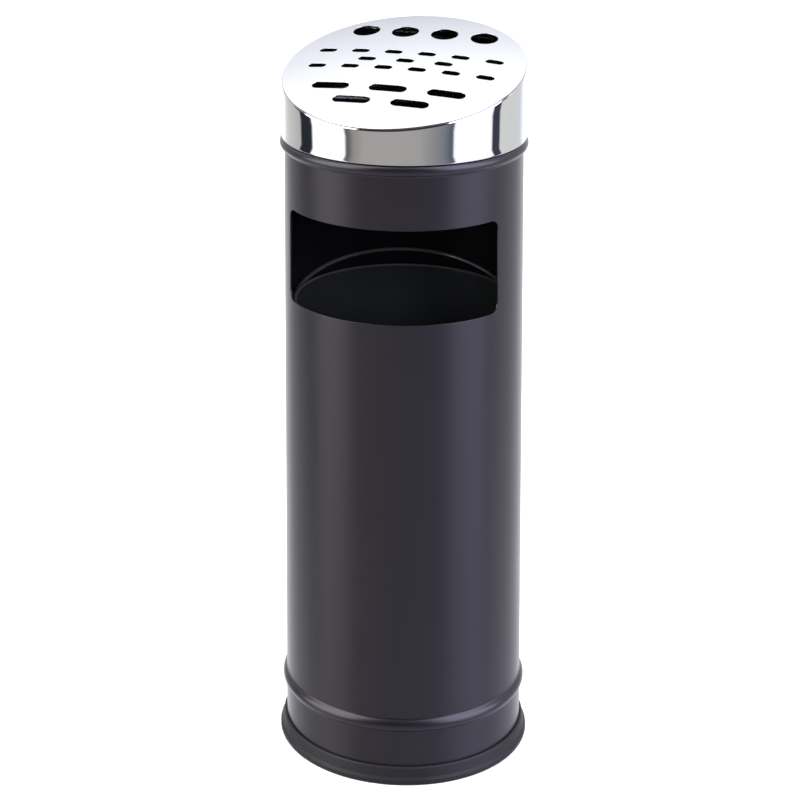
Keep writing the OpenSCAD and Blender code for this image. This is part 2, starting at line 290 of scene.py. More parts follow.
# ------------------------------------------------------------------ shell
def bead_path(zc, R, out_by, face, f, seg=8):
    """Outward bead on a wall of radius R, from below to above: it stands out by out_by with a face of radius face
    and runs into the wall through two hollows of radius f."""
    x = R + out_by - face
    h = math.sqrt((face + f) ** 2 - (R + f - x) ** 2)
    a1 = math.atan2(h, R + f - x)             # where face and hollow meet, seen from the face's centre
    low = [(R + f - f * math.cos(a1 * k / seg), zc - h + f * math.sin(a1 * k / seg)) for k in range(seg + 1)]
    mid = [(x + face * math.cos(a), zc + face * math.sin(a)) for a in (a1 * k / seg for k in range(1 - seg, seg))]
    return low + mid + [(r, 2 * zc - z) for r, z in reversed(low)]


def offset_path(path, d):
    out = []
    for i, p in enumerate(path):
        a = Vector(path[max(i - 1, 0)]); b = Vector(path[min(i + 1, len(path) - 1)])
        t = (b - a).normalized()
        out.append((p[0] - t.y * d, p[1] + t.x * d))
    return out


def build_shell():
    NC = 192
    step = 2 * PI / NC
    e = 0.35 * MM
    outer = [(SHELL_R, SHELL_BOT)]
    outer += bead_path(BEADS_Z[0], SHELL_R, LOW_OUT, LOW_FACE, 2.5 * MM)
    outer += [(SHELL_R, 0.15), (SHELL_R, 0.25), (SHELL_R, 0.36)]
    za, zb, nr = OPEN_Z0 - 14 * MM, OPEN_Z1 + 14 * MM, 10
    i_a = len(outer)
    outer += [(SHELL_R, za + (zb - za) * k / nr) for k in range(nr + 1)]
    i_b = len(outer) - 1
    outer += bead_path(BEADS_Z[1], SHELL_R, TOP_OUT, TOP_FACE, 2.5 * MM)
    outer += [(SHELL_R, SHELL_TOP - 0.4 * MM)]
    inner = offset_path(outer, T)
    # the wall is vertical outside the beads
    inner = [((SHELL_R - T) if abs(o[0] - SHELL_R) < 1e-7 else q[0], q[1]) for o, q in zip(outer, inner)]
    top = [(SHELL_R - 0.12 * MM, SHELL_TOP - 0.12 * MM), (SHELL_R - 0.4 * MM, SHELL_TOP),
           (SHELL_R - T + 0.4 * MM, SHELL_TOP), (SHELL_R - T + 0.12 * MM, SHELL_TOP - 0.12 * MM)]
    m = len(outer)
    ring = outer + top + inner[::-1]
    M = len(ring)
    c0, c1 = -40, 40                       # patch columns, 1.875 degrees each
    verts, faces = [], []
    for j in range(NC):
        a = step * j
        for r, z in ring:
            verts.append((r * math.sin(a), -r * math.cos(a), z))
    io_a, io_b = i_a, i_b
    ii_b, ii_a = M - 1 - i_b, M - 1 - i_a   # same rows on the inside
    for j in range(NC):
        k = (j + 1) % NC
        jc = j if j < NC / 2 else j - NC
        patch = c0 <= jc < c1
        for i in range(M):
            i2 = (i + 1) % M
            if patch and (io_a <= i < io_b or ii_b <= i < ii_a):
                continue
            faces.append((j * M + i, k * M + i, k * M + i2, j * M + i2))
    # patch with the opening, in (arc length, z)
    R = SHELL_R
    x0, x1 = c0 * step * R, c1 * step * R
    bottom = [(R * step * c, za) for c in range(c0, c1)]
    right = [(x1, za + (zb - za) * k / nr) for k in range(nr)]
    topl = [(R * step * c, zb) for c in range(c1, c0, -1)]
    left = [(x0, zb - (zb - za) * k / nr) for k in range(nr)]
    outline = bottom + right + topl + left
    hw = OPEN_A * R
    zc, hh = (OPEN_Z0 + OPEN_Z1) / 2, (OPEN_Z1 - OPEN_Z0) / 2

    def opening(off):
        r = OPEN_R + off
        w, h = hw - OPEN_R, hh - OPEN_R
        out = []
        for cx, cz, a0 in ((w, h, 0), (-w, h, PI / 2), (-w, -h, PI), (w, -h, 3 * PI / 2)):
            for k in range(13):
                a = a0 + PI / 2 * k / 12
                out.append((cx + r * math.cos(a), zc + cz + r * math.sin(a)))
            # straight side that follows the corner
            nx, nz = {0: (-1, 0), 1: (0, -1), 2: (1, 0), 3: (0, 1)}[round(a0 / (PI / 2))]
            L = 2 * w if nx else 2 * h
            cnt = 56 if nx else 16
            sx, sz = out[-1]
            for k in range(1, cnt):
                out.append((sx + nx * L * k / cnt, sz + nz * L * k / cnt))
        return out

    gx = np.arange(x0 + 3.9 * MM, x1 - 2 * MM, 3.92 * MM)
    gz = np.arange(za + 4 * MM, zb - 3 * MM, 4.6 * MM)
    grid = np.array([(x, z) for x in gx for z in gz])
    hole = opening(e)
    grid = grid[~inside(grid, np.array(opening(e + 2.2 * MM)))]
    grid = grid[far_from(grid, [outline], 2.0 * MM)]
    tris = cdt([outline, hole], grid.tolist(), [opening(e * 0.5)])
    flat = outline + hole + grid.tolist()

    def place(p, depth):
        a = p[0] / R
        r = R - depth
        return (r * math.sin(a), -r * math.cos(a), p[1])

    b0 = len(verts)
    verts += [place(p, 0) for p in flat]
    b1 = len(verts)
    verts += [place(p, T) for p in flat]
    for t in tris:
        faces.append(tuple(b0 + i for i in t))
        faces.append(tuple(b1 + i for i in reversed(t)))
    steps = rim_steps(T, e)
    H = len(hole)
    rings = []
    for o, d in steps:
        rings.append(len(verts))
        verts += [place(p, d) for p in opening(o)]
    for q in range(len(rings) - 1):
        for i in range(H):
            i2 = (i + 1) % H
            faces.append((rings[q] + i, rings[q] + i2, rings[q + 1] + i2, rings[q + 1] + i))

    def normals(co):
        r = np.hypot(co[:, 0], co[:, 1])
        n = np.zeros_like(co)
        n[:, 0], n[:, 1] = co[:, 0] / r, co[:, 1] / r
        m_out = np.abs(r - SHELL_R) < 2e-6
        m_in = np.abs(r - (SHELL_R - T)) < 2e-6
        n[m_in] *= -1
        return n, m_out | m_in

    return finish_mesh("outer_shell_skin", verts, faces, "shell", ["outer_shell"], normal_fn=normals)


# ------------------------------------------------------------------ lid
def lid_point(u, v, n):
    """A point of the lid's tilted frame, in the row frame."""
    y = v * math.cos(SLOPE) - n * math.sin(SLOPE)
    z = v * math.sin(SLOPE) + n * math.cos(SLOPE) + APEX_Z
    c, s = math.cos(LID_TURN), math.sin(LID_TURN)
    return (u * c - y * s, u * s + y * c, z)


def dome_n(u, v, t=0.0):
    return math.sqrt((DOME_R - t) ** 2 - u * u - v * v) - DOME_R


def on_cylinder(psi, r, t=0.0):
    """Tilted coordinates of the point where the vertical at angle psi and radius r meets the dome's surface."""
    x, y = r * math.sin(psi), -r * math.cos(psi)
    c, s = math.cos(SLOPE), math.sin(SLOPE)
    v = y / c
    for _ in range(30):
        v = (y + dome_n(x, v, t) * s) / c
    return x, v


def lid_xyz(psi, r, z):
    a = psi + LID_TURN
    return (r * math.sin(a), -r * math.cos(a), z)


def plate_holes():
    out = []
    for i in (-1.5, -0.5, 0.5, 1.5):
        out.append(("c", i * 42 * MM, 73 * MM, 28 * MM, 0))
    for y in (21.3, -14):
        for i in (-2.5, -1.5, -0.5, 0.5, 1.5, 2.5):
            out.append(("s", i * 35 * MM, y * MM, 18.5 * MM, 8.2 * MM))
    for i in (-1, 0, 1):
        out.append(("s", i * 40 * MM, 3.2 * MM, 18.5 * MM, 8.2 * MM))
    for i in (-1, 0, 1):
        out.append(("s", i * 59.5 * MM, -55.3 * MM, 38.5 * MM, 12.4 * MM))
    for i in (-0.5, 0.5):
        out.append(("s", i * 59.5 * MM, -80.2 * MM, 38.5 * MM, 12.4 * MM))
    return out


def hole_loop(h, off):
    if h[0] == "c":
        return circle_loop(h[1], h[2], h[3] / 2 + off)
    return slot_loop(h[1], h[2], h[3], h[4], off)


LID_N = 256


def build_plate():
    e, eh = 1.1 * MM, 0.22 * MM
    psis = [2 * PI * k / LID_N for k in range(LID_N)]
    outline = [on_cylinder(p, LID_R - e) for p in psis]
    holes = plate_holes()
    loops = [hole_loop(h, eh) for h in holes]
    g = 3.6 * MM
    pts = []
    row = 0
    y = -0.13
    while y < 0.13:
        x = -0.126 + (g / 2 if row % 2 else 0)
        while x < 0.126:
            pts.append((x, y))
            x += g
        y += g * 0.866
        row += 1
    pts = np.array(pts)
    pts = pts[inside(pts, np.array(outline))]
    pts = pts[far_from(pts, [outline], 1.8 * MM)]
    for h, lp in zip(holes, loops):
        pts = pts[~inside(pts, np.array(hole_loop(h, eh + 1.3 * MM)))]
    tris = cdt([outline] + loops, pts.tolist(), [hole_loop(h, eh * 0.5) for h in holes])
    flat = outline + [p for lp in loops for p in lp] + pts.tolist()
    verts, faces = [], []
    verts += [lid_point(u, v, dome_n(u, v)) for u, v in flat]
    b1 = len(verts)
    bot_edge = [on_cylinder(p, LID_R, PLATE_T) for p in psis]
    for k, (u, v) in enumerate(flat):
        if k < LID_N:
            u, v = bot_edge[k]
        verts.append(lid_point(u, v, dome_n(u, v, PLATE_T)))
    for t in tris:
        faces.append(tuple(t))
        faces.append(tuple(b1 + i for i in reversed(t)))
    # rounded outer edge from the top surface to the band's cylinder, then down to the underside
    rings = [0]
    seg = 5
    for q in range(1, seg + 1):
        s = q / seg
        rings.append(len(verts))
        for k, p in enumerate(psis):
            A = Vector(lid_point(*outline[k], dome_n(*outline[k])))
            cu, cv = on_cylinder(p, LID_R)
            C = Vector(lid_point(cu, cv, dome_n(cu, cv)))
            B = C - Vector((0, 0, 0.75 * MM))
            verts.append(A * (1 - s) ** 2 + C * 2 * s * (1 - s) + B * s * s)
    rings.append(b1)
    for q in range(len(rings) - 1):
        for i in range(LID_N):
            i2 = (i + 1) % LID_N
            faces.append((rings[q] + i, rings[q] + i2, rings[q + 1] + i2, rings[q + 1] + i))
    steps = rim_steps(PLATE_T, eh, 2)
    for h in holes:
        hr = []
        for o, d in steps:
            hr.append(len(verts))
            for u, v in hole_loop(h, o):
                verts.append(lid_point(u, v, dome_n(u, v) * (1 - d / PLATE_T) + dome_n(u, v, PLATE_T) * d / PLATE_T))
        H = len(hole_loop(h, 0))
        for q in range(len(hr) - 1):
            for i in range(H):
                i2 = (i + 1) % H
                faces.append((hr[q] + i, hr[q] + i2, hr[q + 1] + i2, hr[q + 1] + i))
    centre = np.array(lid_point(0, 0, -DOME_R))

    def normals(co):
        d = co - centre
        r = np.linalg.norm(d, axis=1)
        n = d / r[:, None]
        top = np.abs(r - DOME_R) < 2e-6
        bot = np.abs(r - (DOME_R - PLATE_T)) < 2e-6
        rr = np.hypot(co[:, 0], co[:, 1])
        rim = rr > LID_R - 1e-6
        n[bot] *= -1
        cyl = rim & ~bot
        n[cyl, 0], n[cyl, 1], n[cyl, 2] = co[cyl, 0] / rr[cyl], co[cyl, 1] / rr[cyl], 0
        return n, (top & ~rim) | (bot & ~rim) | cyl

    return finish_mesh("lid_plate_skin", verts, faces, "lid", ["lid_plate"], normal_fn=normals)


def build_band():
    psis = [2 * PI * k / LID_N for k in range(LID_N)]
    z0 = LID_Z
    verts, faces = [], []
    # hem profile, from above the hem on the outside, round the lower edge, up the inside
    hem = [(LID_R + 0.10 * MM * max(0.0, 1 - k / 8) ** 2, z0 + (1.0 + 0.8 * k) * MM) for k in range(8, 0, -1)]
    hem += fillet([(LID_R + 0.10 * MM, z0 + 1.4 * MM, 0), (LID_R + 0.11 * MM, z0, 0.9 * MM), (HEM_IN, z0, 0.5 * MM),
                   (HEM_IN, z0 + HEM_H, 0.3 * MM), (LID_R - BAND_T, z0 + HEM_H, 0.2 * MM), (LID_R - BAND_T, z0 + 9 * MM, 0)], 5)
    rows_out, rows_in = 10, 4
    M = rows_out + len(hem) + rows_in
    for p in psis:
        u, v = on_cylinder(p, LID_R, PLATE_T)
        zt = lid_point(u, v, dome_n(u, v, PLATE_T))[2]
        ui, vi = on_cylinder(p, LID_R - BAND_T, PLATE_T)
        zi = lid_point(ui, vi, dome_n(ui, vi, PLATE_T))[2]
        zh, zk = hem[0][1], hem[-1][1]
        # the sheet leans in by a hair just under the plate
        for k in range(6):
            verts.append(lid_xyz(p, LID_R - 0.09 * MM * (1 - k / 6) ** 2, zt - 9 * MM * k / 6))
        for k in range(rows_out - 6):
            verts.append(lid_xyz(p, LID_R, zt - 9 * MM + (zh - zt + 9 * MM) * k / (rows_out - 6)))
        for r, z in hem:
            verts.append(lid_xyz(p, r, z))
        for k in range(1, rows_in + 1):
            verts.append(lid_xyz(p, LID_R - BAND_T, zk + (zi - zk) * k / rows_in))
    for j in range(LID_N):
        k = (j + 1) % LID_N
        for i in range(M):
            i2 = (i + 1) % M
            faces.append((j * M + i, k * M + i, k * M + i2, j * M + i2))

    def normals(co):
        r = np.hypot(co[:, 0], co[:, 1])
        n = np.zeros_like(co)
        n[:, 0], n[:, 1] = co[:, 0] / r, co[:, 1] / r
        return n, (np.abs(r - LID_R) < 2e-7) & (co[:, 2] > z0 + 12 * MM)

    return finish_mesh("lid_band_skin", verts, faces, "lid", ["lid_band"], normal_fn=normals)


# ------------------------------------------------------------------ foot
def build_ring():
    R = SHELL_R
    o = RING_HI.x
    h = RING_HI.z
    prof = fillet([(R - 8 * MM, 0, 1 * MM), (o - 1.0 * MM, 0, 0.9 * MM), (o, 1.5 * MM, 1.5 * MM), (o, 5.0 * MM, 2.2 * MM),
                   (o - 1.9 * MM, 7.6 * MM, 1.2 * MM), (R + 2.9 * MM, h - 1.6 * MM, 1.6 * MM),
                   (R + 1.8 * MM, h, 0.9 * MM), (R, h - 0.2 * MM, 0.2 * MM), (R, 4 * MM, 0), (R - T, 4 * MM, 0),
                   (R - T, 8 * MM, 0.3 * MM), (R - 8 * MM, 8 * MM, 0.8 * MM)], 5)
    v, f = lathe(prof, 192)
    return finish_mesh("base_ring_skin", v, f, "shell", ["base_ring"])


def build_base_plate():
    R = SHELL_R - T
    z = 8 * MM
    t = 1.2 * MM
    e = 0.2 * MM
    n_out = 96
    rim = R - 6 * MM
    outline = circle_loop(0, 0, rim, n_out)
    holes = [(70 * MM * math.cos(a), 70 * MM * math.sin(a)) for a in (PI / 4, 3 * PI / 4, 5 * PI / 4, 7 * PI / 4)]
    loops = [circle_loop(x, y, 4.5 * MM + e, 24) for x, y in holes]
    pts = np.array([(x, y) for x in np.arange(-0.11, 0.111, 0.011) for y in np.arange(-0.11, 0.111, 0.011)])
    pts = pts[inside(pts, np.array(circle_loop(0, 0, rim - 4 * MM, n_out)))]
    for x, y in holes:
        pts = pts[~inside(pts, np.array(circle_loop(x, y, 8 * MM, 24)))]
    tris = cdt([outline] + loops, pts.tolist(), [circle_loop(x, y, 4.5 * MM, 24) for x, y in holes])
    flat = outline + [p for lp in loops for p in lp] + pts.tolist()
    verts = [(x, y, z + t) for x, y in flat]
    b1 = len(verts)
    verts += [(x, y, z) for x, y in flat]
    faces = []
    for tr in tris:
        faces.append(tuple(tr)); faces.append(tuple(b1 + i for i in reversed(tr)))
    for x, y in holes:
        hr = []
        for o, d in rim_steps(t, e, 2):
            hr.append(len(verts))
            verts += [(px, py, z + t - d) for px, py in circle_loop(x, y, 4.5 * MM + o, 24)]
        for q in range(len(hr) - 1):
            for i in range(24):
                i2 = (i + 1) % 24
                faces.append((hr[q] + i, hr[q] + i2, hr[q + 1] + i2, hr[q + 1] + i))
    # pressed corner and upturned flange
    prof = [(rim, z + t)]
    prof += fillet([(rim, z + t, 0), (R - t, z + t, 2.2 * MM), (R - t, z + 16 * MM, 0.4 * MM), (R - 0.02 * MM, z + 16 * MM, 0.4 * MM),
                    (R - 0.02 * MM, z, 3.2 * MM), (rim, z, 0)], 5)[1:]
    m = len(prof)
    b = len(verts)
    for j in range(n_out):
        a = 2 * PI * j / n_out
        verts += [(r * math.cos(a), r * math.sin(a), zz) for r, zz in prof]
    for j in range(n_out):
        k = (j + 1) % n_out
        for i in range(m - 1):
            faces.append((b + j * m + i, b + k * m + i, b + k * m + i + 1, b + j * m + i + 1))
    return finish_mesh("base_plate_skin", verts, faces, "shell", ["base_plate"])


# ------------------------------------------------------------------ ash pan
def build_pan():
    R = SHELL_R - T - 0.9 * MM
    t = 1.0 * MM
    top = SHELL_TOP + 0.05 * MM
    low = PAN_LO.z
    hi = PAN_HI.z
    out = SHELL_R + 0.3 * MM
    prof = fillet([(0, low, 0), (60 * MM, low, 0), (R, low, 9 * MM), (R, top, 0.5 * MM), (out, top, 0.4 * MM), (out, hi, 0.45 * MM),
                   (R - t, hi, 1.2 * MM), (R - t, low + t, 8 * MM), (60 * MM, low + t, 0), (0, low + t, 0)], 7)
    v, f = lathe(prof, 144, close=False)
    return finish_mesh("ash_pan_skin", v, f, "pan", ["ash_pan"])


def strip(path, width, thick, e=0.3 * MM):
    """Flat strap: path of (x, z) centre points in the XZ plane, width along Y, with rounded edges."""
    sec = fillet([(-width / 2, -thick / 2, e), (width / 2, -thick / 2, e), (width / 2, thick / 2, e), (-width / 2, thick / 2, e)], 3)
    verts, faces = [], []
    m, n = len(path), len(sec)
    for i in range(m):
        a = Vector(path[max(i - 1, 0)]); b = Vector(path[min(i + 1, m - 1)])
        t = (b - a).normalized()
        nrm = Vector((-t.y, t.x))
        for y, q in sec:
            verts.append((path[i][0] + nrm.x * q, y, path[i][1] + nrm.y * q))
    for i in range(m - 1):
        for k in range(n):
            k2 = (k + 1) % n
            faces.append((i * n + k, i * n + k2, (i + 1) * n + k2, (i + 1) * n + k))
    faces.append(tuple(range(n - 1, -1, -1)))
    faces.append(tuple((m - 1) * n + k for k in range(n)))
    return verts, faces


def build_pan_handle():
    lo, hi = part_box("pan_handle")
    x = SHELL_R - T - 0.9 * MM - 1.0 * MM - 1.12 * MM
    z0, z1 = lo.z, hi.z - 0.75 * MM
    right = fillet([(0, z1, 0), (x - 22 * MM, z1, 9 * MM), (x, z1 - 22.6 * MM, 8 * MM), (x, z0, 0)], 8)
    # open path: keep the two ends as they are, add points along the long runs
    path = []
    for a, b in zip(right[:-1], right[1:]):
        d = math.dist(a, b)
        k = max(1, int(d / (6 * MM)))
        path += [(a[0] + (b[0] - a[0]) * i / k, a[1] + (b[1] - a[1]) * i / k) for i in range(k)]
    path.append(right[-1])
    full = [(-px, pz) for px, pz in reversed(path[1:])] + path
    v, f = strip(full, 18 * MM, 1.5 * MM)
    return finish_mesh("pan_handle_skin", v, f, "pan", ["pan_handle"])


def rivet_profile(head_r, head_h, shank_r, length, tail_r, tail_h):
    """Closed (r, z) profile: domed head above z = 0, shank down to -length, flat tail disc below."""
    pts = [(0, head_h)]
    for k in range(1, 9):
        a = PI / 2 * k / 8
        pts.append((head_r * math.sin(a), head_h * (0.12 + 0.88 * math.cos(a))))
    pts += [(head_r, 0), (shank_r, 0), (shank_r, -length)]
    pts += [(tail_r, -length), (tail_r, -length - tail_h * 0.7), (tail_r - 0.3 * MM, -length - tail_h), (0, -length - tail_h)]
    return pts


def placed_lathe(profile, matrix, n=32):
    v, f = lathe(profile, n, close=False)
    return [matrix @ Vector(p) for p in v], f


def join(parts):
    verts, faces = [], []
    for v, f in parts:
        b = len(verts)
        verts += list(v)
        faces += [tuple(b + i for i in q) for q in f]
    return verts, faces


def turned(verts, a):
    c, s = math.cos(a), math.sin(a)
    return [(v[0] * c - v[1] * s, v[0] * s + v[1] * c, v[2]) for v in verts]


def axis_matrix(loc, z):
    z = Vector(z).normalized()
    return Matrix.Translation(loc) @ z.to_track_quat("Z", "Y").to_matrix().to_4x4()


def build_handle_rivets():
    R = SHELL_R - T - 0.9 * MM
    z = SHELL_TOP + 0.05 * MM - 15 * MM
    parts = []
    for s in (1, -1):
        # head inside on the strap, thin tail outside the pan's wall
        m = axis_matrix((s * (R - 1.0 * MM - 1.6 * MM), 0, z), (-s, 0, 0))
        parts.append(placed_lathe(rivet_profile(3.9 * MM, 1.4 * MM, 1.97 * MM, 2.6 * MM, 3.5 * MM, 0.45 * MM), m))
    v, f = join(parts)
    return finish_mesh("handle_rivets_skin", v, f, "pan", ["handle_rivets"])


# ------------------------------------------------------------------ liner
def build_liner_wall():
    t = LINER_T
    prof = []
    # outside, bottom to just under the curl
    prof += [(LINER_LOW_R - 0.35 * MM, LINER_Z), (LINER_LOW_R, LINER_Z + 0.35 * MM)]
    for k in range(1, 9):
        z = LINER_Z + (RIM_Z - 3.2 * MM - LINER_Z) * k / 8
        prof.append((wall_r(z), z))
    # the sheet passes up inside the curl and rolls outwards over the wire: outer skin of the curl, inner side first
    r1, r0 = CURL_R, RIMW_R + 0.02 * MM
    # gap edge: the free end of the sheet, below the wire
    cz = RIM_Z
    a_end = math.radians(-118)
    # underside of the roll: from the free end back along the wire side
    prof.append((LINER_TOP_R + 0.05 * MM, cz - 2.3 * MM))
    arc_in = [(CURL_C + r0 * math.cos(a), cz + r0 * math.sin(a)) for a in np.linspace(math.radians(222), a_end, 16)]
    prof += arc_in
    arc_out = [(CURL_C + r1 * math.cos(a), cz + r1 * math.sin(a)) for a in np.linspace(a_end, math.radians(180), 26)]
    prof += arc_out
    for k in range(8, 0, -1):
        z = LINER_Z + (RIM_Z - 3.2 * MM - LINER_Z) * k / 8
        prof.append((wall_r(z) - t, z))
    prof += [(LINER_LOW_R - t, LINER_Z + 0.2 * MM), (LINER_LOW_R - t + 0.2 * MM, LINER_Z)]
    v, f = lathe(prof, 160)
    return finish_mesh("liner_wall_skin", v, f, "liner", ["liner_wall"])


def build_liner_floor():
    r = LINER_LOW_R - LINER_T - 0.05 * MM
    z = LINER_Z
    prof = fillet([(0, z + 8 * MM, 0), (r - 4 * MM, z + 8 * MM, 0), (r, z + 8 * MM, 1.6 * MM), (r, z + 0.3 * MM, 0.3 * MM),
                   (r - 1 * MM, z + 0.3 * MM, 0.3 * MM), (r - 1 * MM, z + 7 * MM, 1.0 * MM), (r - 5 * MM, z + 7 * MM, 0), (0, z + 7 * MM, 0)], 4)
    v, f = lathe(prof, 128, close=False)
    return finish_mesh("liner_floor_skin", v, f, "liner", ["liner_floor"])


def build_rim_wire():
    prof = [(CURL_C + RIMW_R * math.cos(2 * PI * k / 16), RIM_Z + RIMW_R * math.sin(2 * PI * k / 16)) for k in range(16)]
    v, f = lathe(prof, 128)
    return finish_mesh("liner_rim_wire_skin", v, f, "liner", ["liner_rim_wire"])


def build_ears():
    """Pressed ears that follow the liner's taper, each with a raised eye round the bail's end."""
    t = 1.4 * MM
    e = 0.3 * MM
    eye_r = 4.6 * MM
    hole_r = 2.06 * MM
    pz = PIVOT_Z
    z0 = pz - 30 * MM
    parts = []
    # outline in (y, z): narrow foot, round head
    def outline(off):
        pts = [(-5 * MM, z0, 0), (5 * MM, z0, 4 * MM), (10 * MM, z0 + 5 * MM, 4 * MM), (10 * MM, pz - 2 * MM, 6 * MM),
               (7 * MM, pz + 5.4 * MM, 6 * MM), (0, pz + 8 * MM, 7 * MM), (-7 * MM, pz + 5.4 * MM, 6 * MM), (-10 * MM, pz - 2 * MM, 6 * MM),
               (-10 * MM, z0 + 5 * MM, 4 * MM)]
        pts[0] = (-5 * MM, z0, 4 * MM)
        lp = fillet(pts, 5)
        c = Vector((0, pz - 11 * MM))
        res = []
        n = len(lp)
        for i in range(n):
            a, b = Vector(lp[i - 1]), Vector(lp[(i + 1) % n])
            tt = (b - a).normalized()
            nn = Vector((tt.y, -tt.x))
            res.append((lp[i][0] + nn.x * off, lp[i][1] + nn.y * off))
        return res

    def bulge(y, z):
        d = math.hypot(y, z - pz)
        w = min(max((eye_r + 2.6 * MM - d) / (2.6 * MM), 0), 1)
        return 1.1 * MM * w * w * (3 - 2 * w)

    def surf(y, z, depth):
        """depth 0 is the outer face, t the face on the wall."""
        base = wall_r(z) + 0.02 * MM
        out = base + t + bulge(y, z)
        inn = base
        x = out + (inn - out) * (depth / t)
        return math.sqrt(max(x * x - y * y, 0))

    loops = [outline(-e), circle_loop(0, pz, hole_r + e, 32)]
    pts = np.array([(y, z) for y in np.arange(-9.6 * MM, 9.7 * MM, 1.2 * MM) for z in np.arange(z0 + 0.6 * MM, pz + 8 * MM, 1.2 * MM)])
    pts = pts[inside(pts, np.array(outline(-e - 0.7 * MM)))]
    pts = pts[~inside(pts, np.array(circle_loop(0, pz, hole_r + e + 0.6 * MM, 32)))]
    ring = circle_loop(0, pz, hole_r, 32)
    # outline is not convex everywhere, so triangles outside it are dropped as well
    tris = cdt(loops, pts.tolist(), [ring])
    flat = loops[0] + loops[1] + pts.tolist()
    outl = np.array(outline(-e * 0.9))
    keep = []
    for tr in tris:
        c = np.mean([flat[i] for i in tr], axis=0)
        if inside(c[None], outl)[0]:
            keep.append(tr)
    verts = [(surf(y, z, 0), y, z) for y, z in flat]
    b1 = len(verts)
    verts += [(surf(y, z, t), y, z) for y, z in flat]
    faces = []
    for tr in keep:
        faces.append(tuple(tr)); faces.append(tuple(b1 + i for i in reversed(tr)))
    for make, sign in ((lambda o: outline(-o), 1), (lambda o: circle_loop(0, pz, hole_r + o, 32), 1)):
        hr = []
        for o, d in rim_steps(t, e, 3):
            hr.append(len(verts))
            verts += [(surf(y, z, d), y, z) for y, z in make(o)]
        H = len(make(0))
        for q in range(len(hr) - 1):
            for i in range(H):
                i2 = (i + 1) % H
                faces.append((hr[q] + i, hr[q] + i2, hr[q + 1] + i2, hr[q + 1] + i))
    parts.append((verts, faces))
    parts.append(([(-x, -y, z) for x, y, z in verts], faces))
    v, f = join(parts)
    v = turned(v, LINER_TURN)
    return finish_mesh("liner_ears_skin", v, f, "liner", ["liner_ears"])


def build_ear_rivets():
    parts = []
    tilt = (LINER_TOP_R - LINER_LOW_R) / (RIM_Z - LINER_Z)
    for s in (1, -1):
        for z in (PIVOT_Z - 13 * MM, PIVOT_Z - 24 * MM):
            m = axis_matrix((s * (wall_r(z) + 1.42 * MM), 0, z), (s, 0, -tilt))
            parts.append(placed_lathe(rivet_profile(3.7 * MM, 1.5 * MM, 1.97 * MM, 2.44 * MM, 3.5 * MM, 1.0 * MM), m))
    v, f = join(parts)
    v = turned(v, LINER_TURN)
    return finish_mesh("ear_rivets_skin", v, f, "liner", ["ear_rivets"])


def build_bail():
    r = 2.0 * MM
    half = 115.2 * MM
    leg = 4 * MM
    pin_in = wall_r(PIVOT_Z) - 4.5 * MM
    bend = 2.6 * MM
    pts = []
    # upright frame: X across, Z up from the pivot; then lean back
    def arc(cx, cz, rr, a0, a1, n):
        return [(cx + rr * math.cos(a0 + (a1 - a0) * k / n), cz + rr * math.sin(a0 + (a1 - a0) * k / n)) for k in range(n + 1)]
    path = [(pin_in + 0.2 * MM, 0)]
    path += [(pin_in + (half - bend - pin_in) * k / 3, 0) for k in (1, 2)]
    path += arc(half - bend, bend, bend, -PI / 2, 0, 8)
    path += arc(0, leg, half, math.radians(0.6), PI - math.radians(0.6), 120)
    path += arc(-half + bend, bend, bend, PI, 3 * PI / 2, 8)
    path += [(-pin_in - (half - bend - pin_in) * k / 3, 0) for k in (2, 1)]
    path += [(-pin_in - 0.2 * MM, 0)]
    lean = math.radians(90 - 16)
    c, s = math.cos(lean), math.sin(lean)
    pts = [(x, z * s, PIVOT_Z + z * c) for x, z in path]
    wire = sweep(pts, r, 24)
    parts = [wire]
    # peened ends inside the wall
    for sg in (1, -1):
        prof = [(0, 1.25 * MM), (1.6 * MM, 1.15 * MM), (2.8 * MM, 0.75 * MM), (3.3 * MM, 0.2 * MM), (3.3 * MM, -0.5 * MM), (3.0 * MM, -0.95 * MM), (0, -0.95 * MM)]
        m = axis_matrix((sg * (wall_r(PIVOT_Z) - 3.4 * MM), 0, PIVOT_Z), (-sg, 0, 0))
        parts.append(placed_lathe(prof, m, 28))
    v, f = join(parts)
    v = turned(v, LINER_TURN)
    return finish_mesh("bail_wire_skin", v, f, "bail", ["bail_wire"])


# ------------------------------------------------------------------ materials
def mat_base(name):
    m = bpy.data.materials.new(name)
    m.use_nodes = True
    nt = m.node_tree
    bsdf = nt.nodes["Principled BSDF"]
    return m, nt, bsdf


def noise(nt, scale, detail=2.0, rough=0.5, stretch=(1, 1, 1), coord=None):
    tc = nt.nodes.new("ShaderNodeTexCoord")
    mp = nt.nodes.new("ShaderNodeMapping")
    mp.inputs["Scale"].default_value = stretch
    nt.links.new(coord or tc.outputs["Object"], mp.inputs["Vector"])
    n = nt.nodes.new("ShaderNodeTexNoise")
    n.inputs["Scale"].default_value = scale
    n.inputs["Detail"].default_value = detail
    n.inputs["Roughness"].default_value = rough
    nt.links.new(mp.outputs["Vector"], n.inputs["Vector"])
    return n


def ramp(nt, src, stops):
    r = nt.nodes.new("ShaderNodeValToRGB")
    el = r.color_ramp.elements
    while len(el) > 1:
        el.remove(el[-1])
    for i, (p, c) in enumerate(stops):
        e = el[0] if i == 0 else el.new(p)
        e.position = p
        e.color = c if len(c) == 4 else (*c, 1)
    nt.links.new(src, r.inputs["Fac"])
    return r


def maprange(nt, src, a, b, c, d):
    m = nt.nodes.new("ShaderNodeMapRange")
    m.inputs["From Min"].default_value = a
    m.inputs["From Max"].default_value = b
    m.inputs["To Min"].default_value = c
    m.inputs["To Max"].default_value = d
    nt.links.new(src, m.inputs["Value"])
    return m.outputs["Result"]


